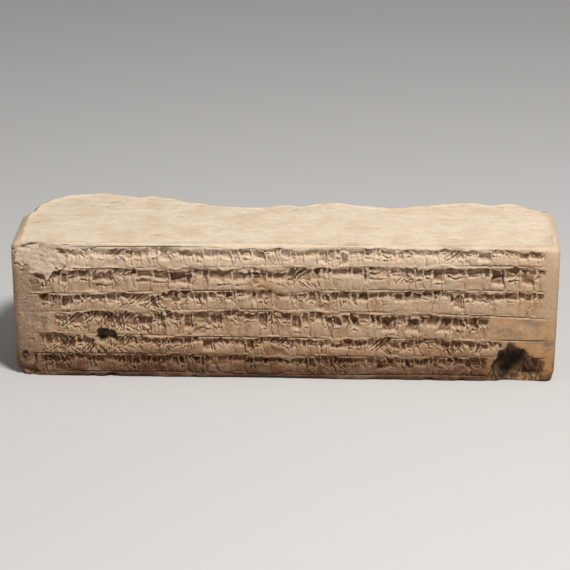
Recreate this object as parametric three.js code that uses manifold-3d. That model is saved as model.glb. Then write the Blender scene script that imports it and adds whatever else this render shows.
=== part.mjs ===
// An inscribed fired-clay building brick, lying on one of its two large beds.
// It is one solid. The narrow front face carries seven ruled lines and six rows of pressed strokes, the
// moulded edges are worn round, three places are chipped or flaked, and the back is a rough break.
// Millimetres, +Z up. The inscribed face looks along -Y and the length runs along X.
import * as THREE from "three";
import { mergeVertices } from "three/addons/utils/BufferGeometryUtils.js";
import Module from "manifold-3d";

const wasm = await Module();
wasm.setup();

// The block
const LENGTH = 367; // left end to right end, at the upper bed
const THICKNESS = 95; // bed to bed
const DEPTH = 110; // inscribed face to the furthest point of the break
const END_TAPER = 1; // each end face stands in by this much at the inscribed face
const END_LEAN = 1.2; // and by this much at the underside
const CORNER_RADIUS = 5; // upright edges beside the inscribed face
const ARRIS_RADIUS = 3.5; // long edges of the moulded faces
const BREAK_EDGE_RADIUS = 1.2; // edges of the break, only slightly dulled

// The break
const BREAK_FACET = 9; // size of one facet along the break
const BED_STEP = 12; // and up it
const FACET_DEPTH = 2.6; // how far the facets stand in and out
const BREAK_LEAN = 9; // how far the break runs in under the upper bed
const BREAK_BLEND = 3; // facets over which the break starts at each end

// Ruled lines
const RULING_WIDTH = 1.4;
const RULING_DEPTH = 0.8;
const RULING_STEP = 26; // length of one straight piece of a line
const RULING_FADE = 0.2; // share of its width and depth that a line has left at its ends

// Strokes
const LEFT_MARGIN = 17; // bare clay before the first stroke
const RIGHT_MARGIN = 10;
const HEAD_DROP = 1.8; // stroke heads below the line over them
const TAIL_RISE = 1.2; // stroke tails above the line under them
const HEAD_WIDTH = 4.2;
const DEEPEST = 0.3; // the deepest point lies this share of the head's width along the stroke
const STROKE_DEPTH = 2.5;
const SIGN_GAP = 1.3;
const CUTTER_LIFT = 0.4; // cutters start this far outside the face

// Damage
const SPALL_DEPTH = 1.5; // flaked skin at the upper left
const CHIP_DEPTH = 9; // broken arris at the lower right
const HOLE_DEPTH = 6; // pit across the fifth ruled line
const CORNER_CHIP_DEPTH = 3.5; // lower left corner

const HALF = LENGTH / 2;
const FRONT_HALF = HALF - END_TAPER;

// Plan of the break from the left end round to the right end: shares of half the length and of the depth
const BREAK_PLAN = [
  [-0.996, 0.53], [-0.982, 0.575], [-0.968, 0.605], [-0.962, 0.7], [-0.936, 0.81], [-0.9, 0.885],
  [-0.85, 0.945], [-0.79, 0.99], [-0.7, 1], [-0.64, 0.955], [-0.57, 0.942], [-0.525, 0.955],
  [-0.44, 0.895], [-0.33, 0.805], [-0.24, 0.757], [-0.14, 0.742], [-0.06, 0.775], [-0.02, 0.8],
  [0.05, 0.783], [0.12, 0.845], [0.2, 0.85], [0.28, 0.798], [0.42, 0.772], [0.48, 0.808],
  [0.62, 0.86], [0.7, 0.893], [0.76, 0.842], [0.84, 0.876], [0.89, 0.845], [0.93, 0.755],
  [0.965, 0.728], [0.988, 0.68], [1, 0.59],
];

// Heights of the ruled lines at the left end, the middle and the right end, as shares of the thickness
const RULINGS = [
  [0.968, 0.98, 0.984],
  [0.795, 0.84, 0.858],
  [0.605, 0.665, 0.672],
  [0.473, 0.512, 0.472],
  [0.324, 0.318, 0.31],
  [0.17, 0.184, 0.178],
  [0.044, 0.036, 0.04],
];

// Where each row of strokes ends, as a share of the way along the face
const ROW_ENDS = [1, 1, 1, 0.885, 0.9, 0.872];

// A repeatable run of numbers between 0 and 1
function numbersFrom(seed) {
  let state = seed;
  return () => {
    state = (state * 16807) % 2147483647;
    return state / 2147483647;
  };
}

function solidOf(geometry) {
  const merged = mergeVertices(geometry, 1e-4);
  return new wasm.Manifold(
    new wasm.Mesh({
      numProp: 3,
      vertProperties: new Float32Array(merged.getAttribute("position").array),
      triVerts: new Uint32Array(merged.index.array),
    }),
  );
}

function geometryOf(solid) {
  const { vertProperties, triVerts } = solid.getMesh();
  const geometry = new THREE.BufferGeometry();
  geometry.setAttribute("position", new THREE.BufferAttribute(vertProperties, 3));
  geometry.setIndex(new THREE.BufferAttribute(triVerts, 1));
  return geometry;
}

// A closed skin over equal rings of points, each anticlockwise seen from the end of the row of rings.
// flatten gives a ring's own plane, for the two end caps.
function loft(rings, flatten) {
  const count = rings[0].length;
  const triangles = [];
  for (let level = 0; level < rings.length - 1; level++) {
    for (let i = 0; i < count; i++) {
      const a = level * count + i;
      const b = level * count + ((i + 1) % count);
      triangles.push(a, b, b + count, a, b + count, a + count);
    }
  }
  const last = (rings.length - 1) * count;
  const cap = (ring) => THREE.ShapeUtils.triangulateShape(ring.map(flatten), []);
  for (const [a, b, c] of cap(rings[0])) triangles.push(c, b, a);
  for (const [a, b, c] of cap(rings.at(-1))) triangles.push(last + a, last + b, last + c);
  const geometry = new THREE.BufferGeometry().setFromPoints(rings.flat());
  geometry.setIndex(triangles);
  return geometry;
}

// The block's outline seen from above, anticlockwise, starting at the left end of the inscribed face
function planOutline() {
  const outline = [];
  const corner = (centreX, startAngle) => {
    const steps = 4;
    for (let i = 0; i <= steps; i++) {
      const angle = startAngle + (Math.PI / 2) * (i / steps);
      const x = centreX + CORNER_RADIUS * Math.cos(angle);
      const y = CORNER_RADIUS + CORNER_RADIUS * Math.sin(angle);
      outline.push({ x, y, broken: 0 });
    }
  };
  corner(CORNER_RADIUS - FRONT_HALF, Math.PI);
  corner(FRONT_HALF - CORNER_RADIUS, 1.5 * Math.PI);
  const plan = BREAK_PLAN.map(([x, y]) => new THREE.Vector2(x * HALF, y * DEPTH)).reverse();
  const route = new THREE.SplineCurve(plan);
  const facets = Math.round(route.getLength() / BREAK_FACET);
  route.getSpacedPoints(facets).forEach(({ x, y }, i) => {
    const fromEnd = Math.min(i, facets - i);
    outline.push({ x, y, broken: Math.min(1, fromEnd / BREAK_BLEND) });
  });
  return outline;
}

// The direction into the block at each point of the outline
function inwardNormals(outline) {
  return outline.map((_, i) => {
    const before = outline.at(i - 1);
    const after = outline[(i + 1) % outline.length];
    return new THREE.Vector2(before.y - after.y, after.x - before.x).normalize();
  });
}

// How far a rounded edge draws in at this height
function edgeInset(z, radius) {
  const fromBed = Math.min(z, THICKNESS - z);
  if (fromBed >= radius) return 0;
  return radius - Math.sqrt(radius ** 2 - (radius - fromBed) ** 2);
}

// Heights of the rings of points, close together round both arrises
function bedLevels() {
  const arrisSteps = 3;
  const arris = [];
  for (let i = 0; i <= arrisSteps; i++) {
    arris.push(ARRIS_RADIUS * (1 - Math.cos((Math.PI / 2) * (i / arrisSteps))));
  }
  const middle = [];
  const rise = THICKNESS - 2 * ARRIS_RADIUS;
  const count = Math.round(rise / BED_STEP);
  for (let i = 1; i < count; i++) middle.push(ARRIS_RADIUS + (rise * i) / count);
  return [...arris, ...middle, ...arris.map((z) => THICKNESS - z).reverse()];
}

// The block before anything is cut into it. The break leans in under the upper bed, more in some places
// than in others, and it is roughest below the upper fifth of its height.
function block() {
  const outline = planOutline();
  const inward = inwardNormals(outline);
  const random = numbersFrom(7);
  const rings = bedLevels().map((z) => {
    const below = (THICKNESS - z) / THICKNESS;
    const rough = FACET_DEPTH * Math.min(1, below * 5);
    const narrowing = 1 - (END_LEAN * below) / HALF;
    return outline.map((p, i) => {
      const unevenness = 0.55 + 0.45 * Math.sin((4 * p.x) / HALF + 1);
      const lean = BREAK_LEAN * below * unevenness;
      const facet = rough * (2 * random() - 1);
      const radius = p.broken ? BREAK_EDGE_RADIUS : ARRIS_RADIUS;
      const inset = edgeInset(z, radius) + p.broken * (lean + facet);
      const x = narrowing * (p.x + inset * inward[i].x);
      return new THREE.Vector3(x, p.y + inset * inward[i].y, z);
    });
  });
  return solidOf(loft(rings, (p) => new THREE.Vector2(p.x, p.y)));
}

// Height of a ruled line at x
function rulingHeight([left, middle, right], x) {
  const t = x / HALF;
  const share = middle + ((right - left) / 2) * t + ((right + left) / 2 - middle) * t * t;
  return share * THICKNESS;
}

// A ruled line: a V-shaped groove along the inscribed face, running out to nothing at both ends
function rulingCut(ruling) {
  const start = LEFT_MARGIN - FRONT_HALF;
  const end = FRONT_HALF - RIGHT_MARGIN;
  const steps = Math.round((end - start) / RULING_STEP);
  const rings = [];
  for (let i = 0; i <= steps; i++) {
    const x = start + ((end - start) * i) / steps;
    const z = rulingHeight(ruling, x);
    const fade = i === 0 || i === steps ? RULING_FADE : 1;
    const reach = (RULING_WIDTH / 2) * fade;
    rings.push([
      new THREE.Vector3(x, -CUTTER_LIFT, z - reach),
      new THREE.Vector3(x, RULING_DEPTH * fade, z),
      new THREE.Vector3(x, -CUTTER_LIFT, z + reach),
    ]);
  }
  return solidOf(loft(rings, (p) => new THREE.Vector2(p.y, p.z)));
}

// A pressed stroke: wide and deep at its head, running out at its tail. Points are [x, z] on the face.
function stroke(head, tail, weight) {
  const along = tail.clone().sub(head);
  const side = new THREE.Vector2(-along.y, along.x).setLength((HEAD_WIDTH * weight) / 2);
  const deep = head.clone().addScaledVector(along.clone().normalize(), HEAD_WIDTH * weight * DEEPEST);
  const at = ({ x, y }, depth) => new THREE.Vector3(x, depth, y);
  const corners = [
    at(head.clone().add(side), -CUTTER_LIFT),
    at(head.clone().sub(side), -CUTTER_LIFT),
    at(tail, -CUTTER_LIFT),
    at(deep, STROKE_DEPTH * weight),
  ];
  const geometry = new THREE.BufferGeometry().setFromPoints(corners);
  geometry.setIndex([0, 1, 2, 0, 3, 1, 1, 3, 2, 2, 3, 0]);
  return solidOf(geometry);
}

// One made-up sign, as strokes in row heights from its upper left: across and down at the head, across and
// down at the tail, and weight. None of them is a letter: each is a chance gathering of strokes.
function sign(random) {
  const strokes = [];
  const kind = Math.floor(random() * 6);
  const count = 2 + Math.floor(random() * 3);
  const lean = 0.12 * (random() - 0.5);
  let width = 0;
  if (kind === 0) {
    // a comb of uprights
    width = 0.24 * count;
    for (let i = 0; i < count; i++) {
      const x = 0.12 + 0.24 * i;
      strokes.push([x, 0.08 * random(), x + lean, 0.75 + 0.25 * random(), 0.85]);
    }
  } else if (kind === 1) {
    // short level strokes stacked beside one tall upright
    width = 0.72;
    for (let i = 0; i < count; i++) {
      const z = 0.12 + 0.17 * i;
      strokes.push([0.04, z, 0.5, z + lean, 0.62]);
    }
    strokes.push([0.58, 0, 0.58 + lean, 0.98, 1]);
  } else if (kind === 2) {
    // two uprights with level strokes between them
    width = 0.9;
    strokes.push([0.1, 0.02, 0.1 + lean, 0.86, 0.9], [0.76, 0.02, 0.76 + lean, 0.86, 0.9]);
    for (let i = 0; i < count; i++) strokes.push([0.2, 0.14 + 0.16 * i, 0.7, 0.14 + 0.16 * i, 0.58]);
  } else if (kind === 3) {
    // a slanting cluster of short hooks
    width = 0.3 + 0.16 * count;
    for (let i = 0; i < count; i++) {
      const x = 0.1 + 0.16 * i;
      const z = 0.1 + 0.15 * ((i * 2) % 3);
      strokes.push([x, z, x + 0.28, z + 0.24, 0.95]);
    }
  } else if (kind === 4) {
    // one long level stroke crossed by uprights
    width = 1;
    strokes.push([0.04, 0.26 + lean, 0.94, 0.26, 0.8]);
    for (let i = 0; i < count; i++) {
      const x = 0.22 + 0.2 * i;
      strokes.push([x, 0.04 * i, x, 0.55 + 0.4 * random(), 0.8]);
    }
  } else {
    // a fan of slanting strokes
    width = 0.45 + 0.13 * count;
    for (let i = 0; i < count; i++) {
      const x = 0.06 + 0.15 * i;
      strokes.push([x, 0.02 + 0.05 * i, x + 0.34, 0.62 + 0.06 * i, 0.75]);
    }
  }
  return { strokes, width };
}

// Every stroke of one row, between its two ruled lines
function rowStrokes(row, random) {
  const [upper, lower] = [RULINGS[row], RULINGS[row + 1]];
  const end = FRONT_HALF - RIGHT_MARGIN - (1 - ROW_ENDS[row]) * LENGTH;
  const strokes = [];
  let x = LEFT_MARGIN - FRONT_HALF;
  while (x < end) {
    const top = rulingHeight(upper, x) - HEAD_DROP;
    const height = top - rulingHeight(lower, x) - TAIL_RISE;
    const { strokes: parts, width } = sign(random);
    const fits = x + width * height <= end;
    for (const [x0, down0, x1, down1, weight] of fits ? parts : []) {
      const head = new THREE.Vector2(x + x0 * height, top - down0 * height);
      const tail = new THREE.Vector2(x + x1 * height, top - down1 * height);
      strokes.push(stroke(head, tail, weight));
    }
    x += width * height + SIGN_GAP;
  }
  return strokes;
}

// A rough lump that breaks clay away: a ball of radius 1, its corners moved in and out, then sized and placed
function lump(centre, size, seed, roughness) {
  const round = new THREE.IcosahedronGeometry(1, 2).deleteAttribute("normal").deleteAttribute("uv");
  const ball = mergeVertices(round);
  const random = numbersFrom(seed);
  const position = ball.getAttribute("position");
  const point = new THREE.Vector3();
  for (let i = 0; i < position.count; i++) {
    point.fromBufferAttribute(position, i).multiplyScalar(1 + roughness * (random() - 0.5));
    point.multiply(size).add(centre);
    position.setXYZ(i, point.x, point.y, point.z);
  }
  return solidOf(ball);
}

// The places where clay has gone
function damage() {
  const spall = lump(
    new THREE.Vector3(-FRONT_HALF + 0.045 * LENGTH, -3 * SPALL_DEPTH, 0.875 * THICKNESS),
    new THREE.Vector3(0.062 * LENGTH, 4 * SPALL_DEPTH, 0.17 * THICKNESS),
    11,
    0.22,
  );
  const chip = lump(
    new THREE.Vector3(0.428 * LENGTH, -0.15 * CHIP_DEPTH, 0.07 * THICKNESS),
    new THREE.Vector3(0.05 * LENGTH, 1.15 * CHIP_DEPTH, 0.2 * THICKNESS),
    23,
    0.35,
  );
  const hole = lump(
    new THREE.Vector3(-0.337 * LENGTH, 0, 0.3 * THICKNESS),
    new THREE.Vector3(0.022 * LENGTH, HOLE_DEPTH, 0.05 * THICKNESS),
    31,
    0.4,
  );
  const corner = lump(
    new THREE.Vector3(-0.47 * LENGTH, 0, 0.1 * THICKNESS),
    new THREE.Vector3(0.016 * LENGTH, CORNER_CHIP_DEPTH, 0.1 * THICKNESS),
    43,
    0.45,
  );
  return [spall, chip, hole, corner];
}

function brick() {
  const random = numbersFrom(2024);
  const strokes = ROW_ENDS.flatMap((_, row) => rowStrokes(row, random));
  const cutters = [...RULINGS.map(rulingCut), ...strokes, ...damage()];
  const cut = cutters.reduce((all, next) => all.add(next));
  const geometry = geometryOf(block().subtract(cut));
  geometry.computeVertexNormals();
  return geometry;
}

const clay = new THREE.MeshStandardMaterial({ color: 0xcdb18a, roughness: 0.95, metalness: 0 });
const mesh = new THREE.Mesh(brick(), clay);
mesh.name = "brick";

// The origin is under the middle of the block, on the surface that it lies on
const middle = new THREE.Box3().setFromObject(mesh).getCenter(new THREE.Vector3());
mesh.position.set(-middle.x, -middle.y, 0);

const part = new THREE.Group();
part.add(mesh);

export default part;
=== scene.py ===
import math

import bpy
import numpy as np
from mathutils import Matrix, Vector
from mathutils.geometry import delaunay_2d_cdt


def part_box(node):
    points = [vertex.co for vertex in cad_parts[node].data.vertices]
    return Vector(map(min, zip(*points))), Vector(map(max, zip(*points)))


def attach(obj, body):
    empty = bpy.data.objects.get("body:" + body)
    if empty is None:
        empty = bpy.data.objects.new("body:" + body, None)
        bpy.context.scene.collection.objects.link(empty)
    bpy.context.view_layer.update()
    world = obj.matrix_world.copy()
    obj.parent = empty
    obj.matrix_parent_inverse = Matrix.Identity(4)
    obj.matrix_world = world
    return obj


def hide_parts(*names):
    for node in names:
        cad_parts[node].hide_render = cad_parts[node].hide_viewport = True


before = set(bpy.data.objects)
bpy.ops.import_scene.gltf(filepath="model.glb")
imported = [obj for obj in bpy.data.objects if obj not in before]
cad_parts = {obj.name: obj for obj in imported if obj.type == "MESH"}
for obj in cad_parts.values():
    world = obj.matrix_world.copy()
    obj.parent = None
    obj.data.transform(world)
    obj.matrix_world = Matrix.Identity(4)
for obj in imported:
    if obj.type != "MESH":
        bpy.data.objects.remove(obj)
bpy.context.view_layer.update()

MM = 0.001

# The block, with the sizes that the solid has
LENGTH = 367
THICKNESS = 95
DEPTH = 110
END_TAPER = 1
END_LEAN = 1.2
CORNER_RADIUS = 5
ARRIS_RADIUS = 3.5
BREAK_EDGE_RADIUS = 1.2
BREAK_FACET = 9
BED_STEP = 12
FACET_DEPTH = 2.6
BREAK_LEAN = 9
BREAK_BLEND = 3
ARRIS_STEPS = 3
CORNER_STEPS = 4
HALF = LENGTH / 2
FRONT_HALF = HALF - END_TAPER

# Plan of the break from the left end round to the right end: shares of half the length and of the depth
BREAK_PLAN = [
    (-0.996, 0.53), (-0.982, 0.575), (-0.968, 0.605), (-0.962, 0.7), (-0.936, 0.81), (-0.9, 0.885),
    (-0.85, 0.945), (-0.79, 0.99), (-0.7, 1), (-0.64, 0.955), (-0.57, 0.942), (-0.525, 0.955),
    (-0.44, 0.895), (-0.33, 0.805), (-0.24, 0.757), (-0.14, 0.742), (-0.06, 0.775), (-0.02, 0.8),
    (0.05, 0.783), (0.12, 0.845), (0.2, 0.85), (0.28, 0.798), (0.42, 0.772), (0.48, 0.808),
    (0.62, 0.86), (0.7, 0.893), (0.76, 0.842), (0.84, 0.876), (0.89, 0.845), (0.93, 0.755),
    (0.965, 0.728), (0.988, 0.68), (1, 0.59),
]

# Heights of the ruled lines at the left end, the middle and the right end, as shares of the thickness
RULINGS = [
    (0.968, 0.98, 0.984),
    (0.795, 0.84, 0.858),
    (0.605, 0.665, 0.672),
    (0.473, 0.512, 0.472),
    (0.324, 0.318, 0.31),
    (0.17, 0.184, 0.178),
    (0.044, 0.036, 0.04),
]

# Strokes, laid out as on the solid
ROW_ENDS = [1, 1, 1, 0.885, 0.9, 0.872]
LEFT_MARGIN = 17
RIGHT_MARGIN = 10
HEAD_DROP = 1.8
TAIL_RISE = 1.2
HEAD_WIDTH = 4.2
DEEPEST = 0.3
STROKE_DEPTH = 2.5
SIGN_GAP = 1.3
CUTTER_LIFT = 0.4
STROKE_SEED = 2024
FACET_SEED = 7
ROW_LEFT = LEFT_MARGIN - FRONT_HALF

# The pits that crowd each row: where they start and stop, their size and force, and the share of them that is
# jumbled in the left third. Elsewhere few are jumbled.
CROWDING = [
    (-166, 172, 1.1, 0.75, 0.08),
    (-167, 173, 1.3, 1, 0.08),
    (-164, 172, 1, 1, 0.55),
    (-155, 137, 1.05, 1, 0.55),
    (-165, 146, 0.82, 1, 0.55),
    (-165, 136, 0.75, 1, 0.08),
]
CROWD_SEED = 977
JUMBLED_TO = -70
FEW_JUMBLED = 0.08
SHORT_ROWS = (3, 4, 5)
CELL_LEAST = 3.4
CELL_SPREAD = 6.4
CELL_SLIVER = 2.4
ROW_RECESS = 1.3

# Ruled lines
LINE_DEPTH = 1.1
LINE_HALF_WIDTH = 0.5
LIP_HEIGHT = 0.25
LIP_DROP = 0.8

# Places where clay has gone, as outlines on the inscribed face
SPALL = [
    (-186, 97), (-148, 97), (-147, 90), (-145, 81.7), (-150, 76), (-154, 76.5), (-158, 70), (-164, 67.3),
    (-169, 71.5), (-174, 76), (-178, 81), (-182, 87), (-187, 91),
]
CHIP = [
    (152, 27.3), (145, 21.5), (142, 14.3), (136, 2.6), (134, -4), (177, -4), (175, 7.5), (174, 14.7),
    (165, 17.5), (162, 21.7), (157, 24.5),
]
HOLE = [(-130, 28.5), (-124, 32.5), (-116, 33.9), (-113, 30.9), (-115, 26), (-124, 24.6), (-129, 26)]
CORNER_CHIP = [(-186, 13), (-172, 18), (-164, 16), (-168, 8), (-172, 3), (-176, -3), (-186, -3)]

# Cracks over the flaked patch: height, and the places between which each runs
CRACKS = [(92.3, -175, -164), (89.8, -157, -144), (86.5, -150, -145)]
STEP_BELOW = 1.3

# Middles of the chip's deepest and darkest places, of the clay left in the hole, of a pebble and of a stain
CHIP_DEEPEST = (158, 4)
CHIP_HEART = (152, 14)
CLUMP = (-122, 23.5)
PEBBLE = (-83, 45)
STAIN = (-12, 66)

# Rounding of what would stand proud of the face, and the depth in its own units from which it does nothing
SOFTNESS = 0.35
UNTOUCHED = 30

# Wear that draws the ends in at the foot and at the shoulders
FOOT_WEAR = 2.5
FOOT_HEIGHT = 9
LEFT_SHOULDER = 2.8
RIGHT_SHOULDER = 1.5
SHOULDER_HEIGHT = 7

# Chips out of the lower arris: place along the face, half width, half height, depth
ARRIS_CHIPS = [
    (-118, 6, 3.2, 5.2), (-131, 3, 2.2, 4.2), (98, 5, 2.6, 5), (64, 3, 1.8, 4.2), (12, 4, 1.6, 4.3),
    (-62, 3, 1.8, 4.3), (121, 4, 2.2, 4.6),
]

# Pits in the upper bed: place and size
BED_PITS = [
    (-126, 80, 1.6), (-122, 90, 2.2), (-86, 21, 1.7), (-62, 84, 1.4), (5, 78, 1.6), (-2, 48, 1.2), (113, 19, 1.5),
    (168, 84, 1.3), (-170, 45, 1.5), (-30, 66, 1.1), (-46, 60, 1), (60, 40, 1.1), (96, 70, 1.2), (-140, 30, 1.2),
]

# Fineness of the mesh, and of the grids that the relief is worked out on
FRONT_STEP = 0.42
ARC_STEP = 0.5
SIDE_STEP = 1.6
BREAK_STEP = 1.3
BED_GRID = 2.2
MOST_TRIANGLES = 197000
PITCH = 0.25
ROUND_PITCH = 0.5
BED_PITCH = 1.0

# Tones of the inscribed face by height above the underside, in millimetres: browner and darker downwards, partly the
# clay's own stain and partly painted shade, near black at the foot
FACE_TONES = [
    (0, (0.05, 0.013, 0.003)),
    (8, (0.125, 0.05, 0.019)),
    (17, (0.225, 0.115, 0.056)),
    (25, (0.405, 0.23, 0.128)),
    (38, (0.365, 0.213, 0.12)),
    (54, (0.43, 0.27, 0.167)),
    (70, (0.455, 0.298, 0.194)),
    (86, (0.74, 0.56, 0.41)),
    (95, (0.78, 0.64, 0.5)),
]

# Other tones of the clay, and the dark tones that paint shade in the deep places, the hollows and the chips
CREAM, BED_WORN, BED_BROWN, BED_PATCH = (0.75, 0.64, 0.5), (0.7, 0.585, 0.45), (0.6, 0.47, 0.325), (0.57, 0.43, 0.285)
DUST_AND_LIGHT, RUST, DRAB, ORANGE = (0.66, 0.53, 0.38), (0.46, 0.29, 0.16), (0.34, 0.25, 0.17), (0.45, 0.25, 0.11)
SOIL_AND_SHADE, SAND, MARGIN, HOLLOW_SHADE = (0.14, 0.058, 0.023), (0.11, 0.058, 0.031), (0.22, 0.12, 0.069), (0.012, 0.006, 0.003)
SMUDGE_PALE, SMUDGE_DARK = (0.41, 0.185, 0.057), (0.15, 0.066, 0.021)
BREAK_DARK, BREAK_PALE = (0.33, 0.21, 0.126), (0.5, 0.36, 0.235)
FLAKE_PALE, FLAKE_DARK = (0.68, 0.53, 0.4), (0.56, 0.41, 0.29)
CRUMB_DARK, CRUMB_PALE = (0.08, 0.039, 0.02), (0.32, 0.178, 0.093)
CLUMP_TONE, STAIN_TONE, PEBBLE_TONE = (0.5, 0.36, 0.2), (0.42, 0.21, 0.075), (0.55, 0.5, 0.44)
CHIP_SHADE = (0.045, 0.025, 0.014)

# The photograph's camera, fitted to the corners of the face and the upper bed
ELEVATION = math.radians(20)
AZIMUTH = math.radians(2)
DISTANCE = 1.6
IMAGE = 570
FOCAL_PIXELS = 2339.4
SENSOR_WIDTH = 36
TARGET_X, TARGET_Y, TARGET_Z = -1.5, 45, 50.9


def numbers_from(seed):
    """A repeatable run of numbers between 0 and 1, the same one that the solid's strokes use."""
    state = seed
    while True:
        state = state * 16807 % 2147483647
        yield state / 2147483647


def smoothstep(low, high, x):
    """0 below low and 1 above high, with a smooth rise between."""
    t = np.clip((x - low) / (high - low), 0, 1)
    return t * t * (3 - 2 * t)


def bump(x, low, high, soft):
    """1 between low and high, falling to 0 over the width soft on both sides."""
    return smoothstep(low - soft, low + soft, x) * (1 - smoothstep(high - soft, high + soft, x))


def hill(x, z, width, height):
    """1 in the middle, falling to 0 as a bell of the given widths."""
    return np.exp(-((x / width) ** 2) - (z / height) ** 2)


def inside(polygon, x, z, edge):
    """1 inside the polygon and 0 outside, with a soft edge of the given width, on a grid."""
    nearest = np.full(x.shape, 1e9)
    odd = np.zeros(x.shape, bool)
    points = np.array(polygon, float)
    for (x0, z0), (x1, z1) in zip(points, np.roll(points, -1, axis=0)):
        dx, dz = x1 - x0, z1 - z0
        t = np.clip(((x - x0) * dx + (z - z0) * dz) / (dx * dx + dz * dz), 0, 1)
        nearest = np.minimum(nearest, np.hypot(x - x0 - t * dx, z - z0 - t * dz))
        crossing = (z0 > z) != (z1 > z)
        odd ^= crossing & (x < dx * (z - z0) / (dz if dz else 1e-9) + x0)
    return smoothstep(-edge, edge, np.where(odd, nearest, -nearest))


def blurred(field, pitch, size_x, size_z):
    """The field smoothed by a bell curve of the given widths in millimetres."""
    fz = np.fft.fftfreq(field.shape[0], pitch)[:, None]
    fx = np.fft.rfftfreq(field.shape[1], pitch)[None, :]
    spectrum = np.fft.rfft2(field) * np.exp(-2 * (math.pi * fx * size_x) ** 2 - 2 * (math.pi * fz * size_z) ** 2)
    return np.fft.irfft2(spectrum, field.shape)


def noise(shape, pitch, size_x, size_z, seed):
    """Smooth chance relief with lumps of the given widths in millimetres, of spread 1."""
    field = blurred(np.random.default_rng(seed).standard_normal(shape), pitch, size_x, size_z)
    return (field - field.mean()) / field.std()


def sampled(field, columns, rows):
    """The field between its grid points, at fractional columns and rows."""
    c = np.clip(columns, 0, field.shape[1] - 1.001)
    r = np.clip(rows, 0, field.shape[0] - 1.001)
    c0, r0 = c.astype(int), r.astype(int)
    fc, fr = c - c0, r - r0
    upper = field[r0, c0] * (1 - fc) + field[r0, c0 + 1] * fc
    lower = field[r0 + 1, c0] * (1 - fc) + field[r0 + 1, c0 + 1] * fc
    return upper * (1 - fr) + lower * fr


def ruling_height(ruling, x):
    """Height of a ruled line at x: a curve through its three heights."""
    left, middle, right = ruling
    t = x / HALF
    return (middle + (right - left) / 2 * t + ((right + left) / 2 - middle) * t * t) * THICKNESS


def sign(random):
    """One made-up gathering of strokes in row heights, as on the solid."""
    strokes = []
    kind = math.floor(next(random) * 6)
    count = 2 + math.floor(next(random) * 3)
    lean = 0.12 * (next(random) - 0.5)
    if kind == 0:
        width = 0.24 * count
        for i in range(count):
            x = 0.12 + 0.24 * i
            top = 0.08 * next(random)
            strokes.append((x, top, x + lean, 0.75 + 0.25 * next(random), 0.85))
    elif kind == 1:
        width = 0.72
        for i in range(count):
            z = 0.12 + 0.17 * i
            strokes.append((0.04, z, 0.5, z + lean, 0.62))
        strokes.append((0.58, 0, 0.58 + lean, 0.98, 1))
    elif kind == 2:
        width = 0.9
        strokes += [(0.1, 0.02, 0.1 + lean, 0.86, 0.9), (0.76, 0.02, 0.76 + lean, 0.86, 0.9)]
        strokes += [(0.2, 0.14 + 0.16 * i, 0.7, 0.14 + 0.16 * i, 0.58) for i in range(count)]
    elif kind == 3:
        width = 0.3 + 0.16 * count
        for i in range(count):
            x = 0.1 + 0.16 * i
            z = 0.1 + 0.15 * ((i * 2) % 3)
            strokes.append((x, z, x + 0.28, z + 0.24, 0.95))
    elif kind == 4:
        width = 1
        strokes.append((0.04, 0.26 + lean, 0.94, 0.26, 0.8))
        for i in range(count):
            x = 0.22 + 0.2 * i
            strokes.append((x, 0.04 * i, x, 0.55 + 0.4 * next(random), 0.8))
    else:
        width = 0.45 + 0.13 * count
        for i in range(count):
            x = 0.06 + 0.15 * i
            strokes.append((x, 0.02 + 0.05 * i, x + 0.34, 0.62 + 0.06 * i, 0.75))
    return strokes, width


def row_strokes(row, random):
    """Every stroke of one row, as head and tail (x, z) on the face and weight, and the span of each gathering."""
    upper, lower = RULINGS[row], RULINGS[row + 1]
    end = FRONT_HALF - RIGHT_MARGIN - (1 - ROW_ENDS[row]) * LENGTH
    strokes, spans = [], []
    x = ROW_LEFT
    while x < end:
        top = ruling_height(upper, x) - HEAD_DROP
        height = top - ruling_height(lower, x) - TAIL_RISE
        parts, width = sign(random)
        if x + width * height <= end:
            for x0, down0, x1, down1, weight in parts:
                head = (x + x0 * height, top - down0 * height)
                tail = (x + x1 * height, top - down1 * height)
                strokes.append((head, tail, weight))
            spans.append((x, x + width * height))
        x += width * height + SIGN_GAP
    return strokes, spans


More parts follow.
